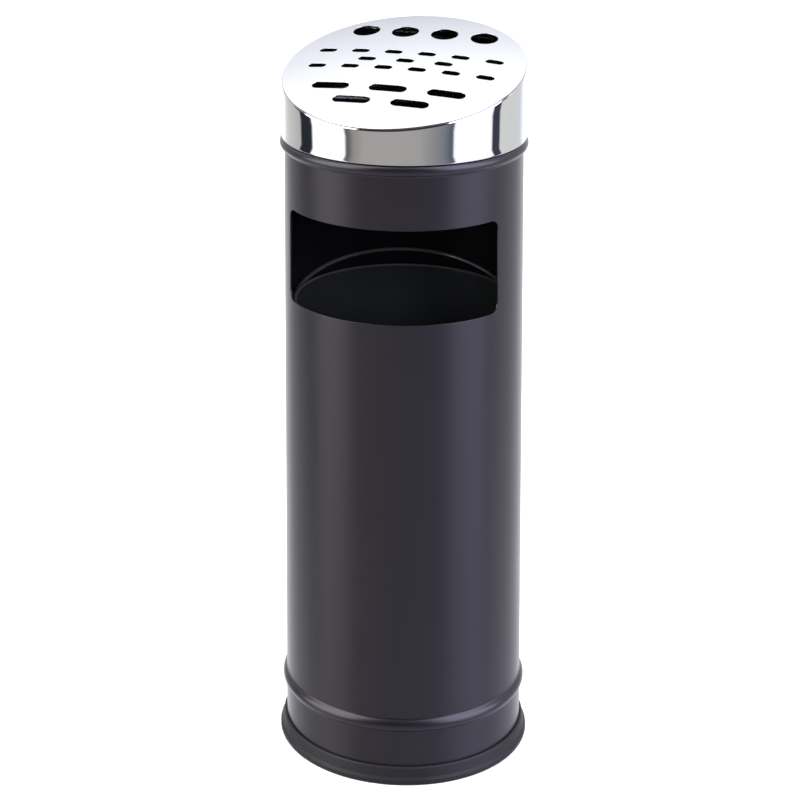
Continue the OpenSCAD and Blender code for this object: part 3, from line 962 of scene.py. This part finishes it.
def bump(nt, src, strength, dist, normal=None):
    b = nt.nodes.new("ShaderNodeBump")
    b.inputs["Strength"].default_value = strength
    b.inputs["Distance"].default_value = dist
    nt.links.new(src, b.inputs["Height"])
    if normal is not None:
        nt.links.new(normal, b.inputs["Normal"])
    return b.outputs["Normal"]


def mat_paint(name, base, rough, coat=0.0, peel=1.0, spec=0.5, tint=(1.0, 1.0, 1.0)):
    m, nt, b = mat_base(name)
    b.inputs["Specular IOR Level"].default_value = spec
    b.inputs["Specular Tint"].default_value = (*tint, 1)
    big = noise(nt, 9, 3, 0.55)
    mid = noise(nt, 420, 2, 0.5)
    fine = noise(nt, 2600, 1.5, 0.5)
    col = ramp(nt, big.outputs["Fac"], [(0.3, tuple(c * 0.93 for c in base)), (0.7, tuple(c * 1.07 for c in base))])
    nt.links.new(col.outputs["Color"], b.inputs["Base Color"])
    rg = nt.nodes.new("ShaderNodeMath"); rg.operation = "ADD"
    nt.links.new(maprange(nt, big.outputs["Fac"], 0.3, 0.7, rough - 0.015, rough + 0.015), rg.inputs[0])
    nt.links.new(maprange(nt, fine.outputs["Fac"], 0.3, 0.7, -0.02, 0.02), rg.inputs[1])
    nt.links.new(rg.outputs[0], b.inputs["Roughness"])
    n1 = bump(nt, mid.outputs["Fac"], 0.35 * peel, 0.00006)
    n2 = bump(nt, fine.outputs["Fac"], 0.25 * peel, 0.000012, n1)
    nt.links.new(n2, b.inputs["Normal"])
    if coat:
        b.inputs["Coat Weight"].default_value = coat
        b.inputs["Coat Roughness"].default_value = 0.25
    return m


def mat_polished(name, base, rough, aniso=0.3, z_axis=True):
    """Bright stainless: faint circular polishing lines, a little haze and tiny waviness of the sheet."""
    m, nt, b = mat_base(name)
    b.inputs["Metallic"].default_value = 1.0
    hair = noise(nt, 900, 3, 0.6, (1, 1, 22) if z_axis else (1, 14, 14))
    haze = noise(nt, 14, 3, 0.55)
    wave = noise(nt, 22, 1.0, 0.4)
    col = ramp(nt, haze.outputs["Fac"], [(0.3, tuple(c * 0.985 for c in base)), (0.7, base)])
    nt.links.new(col.outputs["Color"], b.inputs["Base Color"])
    rg = nt.nodes.new("ShaderNodeMath"); rg.operation = "ADD"
    nt.links.new(maprange(nt, haze.outputs["Fac"], 0.3, 0.7, rough - 0.012, rough + 0.012), rg.inputs[0])
    nt.links.new(maprange(nt, hair.outputs["Fac"], 0.25, 0.75, -0.02, 0.02), rg.inputs[1])
    nt.links.new(rg.outputs[0], b.inputs["Roughness"])
    n1 = bump(nt, wave.outputs["Fac"], 0.12, 0.0006)
    n2 = bump(nt, hair.outputs["Fac"], 0.05, 0.000004, n1)
    nt.links.new(n2, b.inputs["Normal"])
    b.inputs["Anisotropic"].default_value = aniso
    return m


def painted_rim_shade(m, r0, r1, factor):
    """Painted shade: darkens the metal outside radius r1 (object space, metres), a dark line round the plate's edge
    where it meets the band.
    """
    nt = m.node_tree
    b = nt.nodes["Principled BSDF"]
    src = b.inputs["Base Color"].links[0].from_socket
    tc = nt.nodes.new("ShaderNodeTexCoord")
    flat = nt.nodes.new("ShaderNodeVectorMath"); flat.operation = "MULTIPLY"
    flat.inputs[1].default_value = (1, 1, 0)
    nt.links.new(tc.outputs["Object"], flat.inputs[0])
    rad = nt.nodes.new("ShaderNodeVectorMath"); rad.operation = "LENGTH"
    nt.links.new(flat.outputs["Vector"], rad.inputs[0])
    rim_shade = nt.nodes.new("ShaderNodeVectorMath"); rim_shade.operation = "SCALE"
    nt.links.new(src, rim_shade.inputs[0])
    nt.links.new(maprange(nt, rad.outputs["Value"], r0, r1, 1, factor), rim_shade.inputs["Scale"])
    nt.links.new(rim_shade.outputs["Vector"], b.inputs["Base Color"])


def painted_highlight_above(m, z0, z1, base, low, high):
    """Painted highlight: lighter colour between two heights (object space, metres), broken up by noise."""
    nt = m.node_tree
    b = nt.nodes["Principled BSDF"]
    src = b.inputs["Base Color"].links[0].from_socket
    tc = nt.nodes.new("ShaderNodeTexCoord")
    sep = nt.nodes.new("ShaderNodeSeparateXYZ")
    nt.links.new(tc.outputs["Object"], sep.inputs["Vector"])
    h = maprange(nt, sep.outputs["Z"], z0, z1, 0, 1)
    n = noise(nt, 260, 4, 0.65)
    mul = nt.nodes.new("ShaderNodeMath"); mul.operation = "MULTIPLY"
    nt.links.new(h, mul.inputs[0])
    nt.links.new(maprange(nt, n.outputs["Fac"], 0.35, 0.65, low, high), mul.inputs[1])
    mix = nt.nodes.new("ShaderNodeMix")
    mix.data_type = "RGBA"
    nt.links.new(mul.outputs[0], mix.inputs["Factor"])
    nt.links.new(src, mix.inputs["A"])
    mix.inputs["B"].default_value = (*base, 1)
    nt.links.new(mix.outputs["Result"], b.inputs["Base Color"])


def mat_rubber(name, base):
    m, nt, b = mat_base(name)
    fine = noise(nt, 1500, 3, 0.6)
    big = noise(nt, 30, 3, 0.5)
    col = ramp(nt, big.outputs["Fac"], [(0.3, tuple(c * 0.85 for c in base)), (0.7, tuple(c * 1.15 for c in base))])
    nt.links.new(col.outputs["Color"], b.inputs["Base Color"])
    nt.links.new(maprange(nt, big.outputs["Fac"], 0.3, 0.7, 0.52, 0.62), b.inputs["Roughness"])
    b.inputs["Specular IOR Level"].default_value = 0.42
    nt.links.new(bump(nt, fine.outputs["Fac"], 0.3, 0.00003), b.inputs["Normal"])
    return m


def mat_zinc(name, base, rough, spangle=0.0):
    """Zinc surface; spangle adds the crystal patches of hot-dip galvanising."""
    m, nt, b = mat_base(name)
    b.inputs["Metallic"].default_value = 1.0
    if spangle:
        tc = nt.nodes.new("ShaderNodeTexCoord")
        v = nt.nodes.new("ShaderNodeTexVoronoi")
        v.inputs["Scale"].default_value = 110
        nt.links.new(tc.outputs["Object"], v.inputs["Vector"])
        bw = nt.nodes.new("ShaderNodeRGBToBW")
        nt.links.new(v.outputs["Color"], bw.inputs["Color"])
        src = bw.outputs["Val"]
    else:
        src = noise(nt, 160, 3, 0.6).outputs["Fac"]
    k = max(spangle, 0.06)
    col = ramp(nt, src, [(0.2, tuple(c * (1 - k) for c in base)), (0.8, tuple(min(c * (1 + k), 1) for c in base))])
    nt.links.new(col.outputs["Color"], b.inputs["Base Color"])
    nt.links.new(maprange(nt, src, 0.2, 0.8, rough - 0.06, rough + 0.06), b.inputs["Roughness"])
    fine = noise(nt, 1800, 2, 0.5)
    nt.links.new(bump(nt, fine.outputs["Fac"], 0.2, 0.00002), b.inputs["Normal"])
    return m


MATS = {
    "shell": mat_paint("shell_powder_coat", (0.0056, 0.0049, 0.0073), 0.31, spec=0.69, tint=(0.955, 0.895, 1.0)),
    "floor_paint": mat_paint("base_plate_paint", (0.016, 0.015, 0.019), 0.5),
    "lid": mat_polished("lid_polished_stainless", (0.84, 0.842, 0.85), 0.03),
    "plate": mat_polished("plate_polished_stainless", (0.86, 0.862, 0.87), 0.07, z_axis=False),
    "ring": mat_rubber("base_ring_rubber", (0.0068, 0.0062, 0.0088)),
    # near-black pan and handle, which keeps the holes in the plate dark
    "pan": mat_paint("pan_near_black", (0.0085, 0.0085, 0.0100), 0.38, peel=0.6),
    "liner": mat_paint("liner_coating", (0.020, 0.0225, 0.025), 0.46, peel=1.4),
    "zinc": mat_zinc("zinc_plated_wire", (0.42, 0.43, 0.45), 0.34),
    "dull_zinc": mat_zinc("zinc_plated_sheet", (0.50, 0.51, 0.53), 0.38),
}

# painted shade line round the plate's rim, at its joint with the band
painted_rim_shade(MATS["plate"], LID_R - 0.45 * MM, LID_R - 0.15 * MM, 0.38)
# painted highlight along the top of the liner's rim curl, where the rim catches the light
painted_highlight_above(MATS["liner"], RIM_Z + 0.4 * MM, RIM_Z + 1.6 * MM, (0.10, 0.10, 0.105), 0.65, 1.0)
for key, metal in (("zinc", 0.86), ("dull_zinc", 0.86)):
    MATS[key].node_tree.nodes["Principled BSDF"].inputs["Metallic"].default_value = metal

shell = build_shell()
plate = build_plate()
band = build_band()
ring = build_ring()
base = build_base_plate()
pan = build_pan()
handle = build_pan_handle()
hrivets = build_handle_rivets()
liner = build_liner_wall()
lfloor = build_liner_floor()
rimwire = build_rim_wire()
ears = build_ears()
erivets = build_ear_rivets()
bail = build_bail()
for ob, key in ((shell, "shell"), (plate, "plate"), (band, "lid"), (ring, "ring"), (base, "floor_paint"), (pan, "pan"),
                (handle, "pan"), (hrivets, "zinc"), (liner, "liner"), (lfloor, "liner"), (rimwire, "dull_zinc"),
                (ears, "dull_zinc"), (erivets, "zinc"), (bail, "zinc")):
    ob.data.materials.append(MATS[key])

# ------------------------------------------------------------------ floor, light, camera
me = bpy.data.meshes.new("stage_floor")
s = 14.0
me.from_pydata([(-s, -s, 0), (s, -s, 0), (s, s, 0), (-s, s, 0)], [], [(0, 1, 2, 3)])
floor = bpy.data.objects.new("stage_floor", me)
bpy.context.scene.collection.objects.link(floor)
fm, fnt, fb = mat_base("stage_floor_paint")
fb.inputs["Base Color"].default_value = (0.93, 0.925, 0.935, 1)
fb.inputs["Roughness"].default_value = 0.9
fb.inputs["Specular IOR Level"].default_value = 0.0
fb.inputs["Emission Color"].default_value = (1, 0.985, 1.01, 1)
fb.inputs["Emission Strength"].default_value = 0.22
me.materials.append(fm)
floor.visible_glossy = False

NEUT, COOL, COOLD, WARM, WARMW = (1, 1, 1), (0.96, 0.985, 1.05), (0.86, 0.95, 1.12), (1.03, 0.995, 0.965), (1.0, 1.0, 0.985)
DARK, LAV, LAVL = (0.8, 0.9, 1.2), (0.955, 0.97, 1.06), (0.98, 0.99, 1.03)
VIOL = (0.93, 0.925, 1.14)
FLAG_LEAN, HIGH_LEAN, FRONT_DARK, SIDE_GAIN = -0.012, 0.022, 0.08, 1.9

AZ = math.radians(9.919)

fill_data = bpy.data.lights.new("front_fill", "AREA")
fill_data.shape = "RECTANGLE"
fill_data.size, fill_data.size_y = 1.2, 0.8
fill_data.energy = 26
fill_data.color = (1.0, 0.97, 1.0)
fill = bpy.data.objects.new("front_fill", fill_data)
bpy.context.scene.collection.objects.link(fill)
fill.location = (0.9, -2.0, 1.35)
fill.rotation_euler = (Vector((0, 0, 0.5)) - fill.location).to_track_quat("-Z", "Y").to_euler()
fill.visible_camera = False
fill.visible_glossy = False

world = bpy.data.worlds.new("studio")
bpy.context.scene.world = world
world.use_nodes = True
wn = world.node_tree
for n in list(wn.nodes):
    wn.nodes.remove(n)


def wmath(op, *args):
    n = wn.nodes.new("ShaderNodeMath")
    n.operation = op
    for i, v in enumerate(args):
        if isinstance(v, (int, float)):
            n.inputs[i].default_value = v
        else:
            wn.links.new(v, n.inputs[i])
    return n.outputs[0]


def wdot(vec, const):
    n = wn.nodes.new("ShaderNodeVectorMath")
    n.operation = "DOT_PRODUCT"
    wn.links.new(vec, n.inputs[0])
    n.inputs[1].default_value = const
    return n.outputs["Value"]


def wmix(fac, a, b):
    n = wn.nodes.new("ShaderNodeMix")
    n.data_type = "RGBA"
    wn.links.new(fac, n.inputs["Factor"])
    wn.links.new(a, n.inputs["A"])
    wn.links.new(b, n.inputs["B"])
    return n.outputs["Result"]


def grey(v, tint=(1, 1, 1)):
    return (v * tint[0], v * tint[1], v * tint[2], 1)


def wrange(src, a, b, c, d, smooth=True):
    m = wn.nodes.new("ShaderNodeMapRange")
    m.interpolation_type = "SMOOTHSTEP" if smooth else "LINEAR"
    m.inputs["From Min"].default_value = a
    m.inputs["From Max"].default_value = b
    m.inputs["To Min"].default_value = c
    m.inputs["To Max"].default_value = d
    wn.links.new(src, m.inputs["Value"])
    return m.outputs["Result"]


# Studio round the product: azimuth is measured from the front light's side, in degrees, to the right positive
direction = wn.nodes.new("ShaderNodeTexCoord").outputs["Generated"]
to_right = wdot(direction, (math.cos(AZ), math.sin(AZ), 0))
to_front = wdot(direction, (math.sin(AZ), -math.cos(AZ), 0))
height = wdot(direction, (0, 0, 1))
azimuth = wmath("MULTIPLY", wmath("ARCTAN2", to_right, to_front), 180 / PI)
elevation = wmath("MULTIPLY", wmath("ARCSINE", height), 180 / PI)
# the flags lean, so a tilted mirror shifts their edges
inner = wrange(wmath("ABSOLUTE", azimuth), 52, 74, 1, 0)
low_lean = wmath("MULTIPLY", wmath("MINIMUM", wmath("MAXIMUM", wmath("ADD", elevation, 14), -15), 3), FLAG_LEAN)
high_lean = wmath("MULTIPLY", wmath("MINIMUM", wmath("MAXIMUM", wmath("ADD", elevation, 6), 0), 14), HIGH_LEAN)
high_lean = wmath("MULTIPLY", high_lean, inner)
az_l = wmath("MULTIPLY", azimuth, wmath("ADD", wmath("ADD", low_lean, high_lean), 1))


def wramp(src, stops, lo, hi):
    r = wn.nodes.new("ShaderNodeValToRGB")
    els = r.color_ramp.elements
    while len(els) > 1:
        els.remove(els[-1])
    for i, (deg, v, tint) in enumerate(stops):
        q = (deg - lo) / (hi - lo)
        e = els[0] if i == 0 else els.new(q)
        e.position = q
        e.color = grey(v / 1.3, tint)
    wn.links.new(wmath("DIVIDE", wmath("SUBTRACT", src, lo), hi - lo), r.inputs["Fac"])
    return r.outputs["Color"]


def wscale(col, fac):
    n = wn.nodes.new("ShaderNodeVectorMath")
    n.operation = "SCALE"
    wn.links.new(col, n.inputs[0])
    wn.links.new(fac, n.inputs["Scale"])
    return n.outputs["Vector"]


PANELS = [
    (-180, 1.3, COOL), (-160, 1.2, COOL), (-146, 0.72, NEUT), (-128, 0.60, NEUT), (-113.7, 0.50, NEUT), (-111.9, 0.03, DARK), (-96.1, 0.03, DARK),
    (-94.3, 1.3, WARMW), (-57.2, 1.3, NEUT), (-55.8, 0.12, NEUT), (-52.5, 0.16, WARM), (-48, 0.31, WARM), (-38, 0.405, WARM),
    (-10, 0.41, WARM), (14, 0.395, WARM), (27, 0.30, NEUT), (38, 0.235, COOLD), (46.2, 0.11, COOLD), (48.2, 1.3, VIOL), (89.4, 1.3, VIOL),
    (91.2, 0.06, DARK), (100.0, 0.06, DARK), (101.8, 0.74, NEUT), (118, 0.72, NEUT), (138, 0.74, COOL), (156, 1.15, COOL), (180, 1.3, COOL)]
BOUNCE = [
    (-180, 1.3, COOL), (-150, 1.2, COOL), (-100, 0.82, NEUT), (-70, 0.66, NEUT), (-35, 0.52, NEUT), (0, 0.48, VIOL), (35, 0.60, VIOL),
    (70, 0.82, VIOL), (100, 0.86, VIOL), (150, 1.15, COOL), (180, 1.3, COOL)]
SKY = [(-90, 1.0, NEUT), (10, 0.62, LAV), (24, 0.76, LAV), (29, 0.90, LAV), (33, 1.00, LAV), (38, 1.14, LAVL), (44, 1.24, NEUT), (90, 1.3, NEUT)]
panel = wramp(az_l, PANELS, -180, 180)
# the front light wall is dark above the product's own height, the side walls are brighter there
front = wrange(wmath("ABSOLUTE", wmath("ADD", az_l, 5)), 48, 54, 1, 0)
dark_up = wrange(elevation, -13, -2, 1.0, FRONT_DARK)
side = wrange(wmath("ABSOLUTE", azimuth), 100, 112, 1, 0)
bright_up = wmath("ADD", wmath("MULTIPLY", wrange(elevation, -8, 6, 0, SIDE_GAIN), side), 1)
f1 = wmath("ADD", wmath("MULTIPLY", front, wmath("SUBTRACT", dark_up, 1)), 1)
f2 = wmath("ADD", wmath("MULTIPLY", wmath("SUBTRACT", 1, front), wmath("SUBTRACT", bright_up, 1)), 1)
panel = wscale(panel, wmath("MULTIPLY", f1, f2))
panel = wmix(wrange(elevation, -31, -19, 1, 0), panel, wramp(azimuth, BOUNCE, -180, 180))
panel = wscale(panel, wrange(wmath("ABSOLUTE", azimuth), 135, 165, 1.0, 1.45))
sky = wramp(elevation, SKY, -90, 90)
back = wrange(wmath("ABSOLUTE", azimuth), 104, 124, 0, 1)
over = wrange(elevation, 76, 88, 0, 1)
high = wrange(elevation, 6, 16, 0, 1)
env = wmix(wmath("MAXIMUM", wmath("MULTIPLY", back, high), over), panel, sky)

out = wn.nodes.new("ShaderNodeOutputWorld")
bg_cam = wn.nodes.new("ShaderNodeBackground")
bg_env = wn.nodes.new("ShaderNodeBackground")
mix = wn.nodes.new("ShaderNodeMixShader")
lp = wn.nodes.new("ShaderNodeLightPath")
bg_cam.inputs["Color"].default_value = (0.965, 0.95, 0.972, 1)
bg_cam.inputs["Strength"].default_value = 1.0
wn.links.new(env, bg_env.inputs["Color"])
bg_env.inputs["Strength"].default_value = 1.3
wn.links.new(lp.outputs["Is Camera Ray"], mix.inputs["Fac"])
wn.links.new(bg_env.outputs[0], mix.inputs[1])
wn.links.new(bg_cam.outputs[0], mix.inputs[2])
wn.links.new(mix.outputs[0], out.inputs["Surface"])

D, H, PITCH, YAW, ROLL = 2.240251, 1.200791, math.radians(7.788), math.radians(2.16), math.radians(-0.194)
F_PX, CX, CY = 2289.517, 318.847, -130.759
cam_data = bpy.data.cameras.new("camera")
cam = bpy.data.objects.new("camera", cam_data)
bpy.context.scene.collection.objects.link(cam)
look = Vector((-math.sin(AZ + YAW) * math.cos(PITCH), math.cos(AZ + YAW) * math.cos(PITCH), -math.sin(PITCH)))
right = Vector((math.cos(AZ + YAW), math.sin(AZ + YAW), 0))
up_dir = right.cross(look)
cam_right = right * math.cos(ROLL) + up_dir * math.sin(ROLL)
cam_up = up_dir * math.cos(ROLL) - right * math.sin(ROLL)
rot = Matrix((cam_right, cam_up, -look)).transposed()
cam.location = (D * math.sin(AZ), -D * math.cos(AZ), H)
cam.rotation_euler = rot.to_euler()
cam_data.sensor_width = 36
cam_data.lens = F_PX / 800 * 36
cam_data.clip_start, cam_data.clip_end = 0.05, 60
bpy.context.scene.camera = cam
cam_x = cam.location.x
for prop, value in (("shift_x", -(CX - 400) / 800), ("shift_y", (CY - 400) / 800)):
    # the shift belongs to this camera place only, so that other views stay centred
    setattr(cam_data, prop, value)
    d = cam_data.driver_add(prop).driver
    d.type = "SCRIPTED"
    var = d.variables.new()
    var.name = "x"
    var.type = "SINGLE_PROP"
    var.targets[0].id = cam
    var.targets[0].data_path = "location[0]"
    d.expression = f"{value:.6f} if abs(x - {cam_x:.6f}) < 0.0001 else 0.0"

bpy.context.scene.view_settings.view_transform = "Standard"
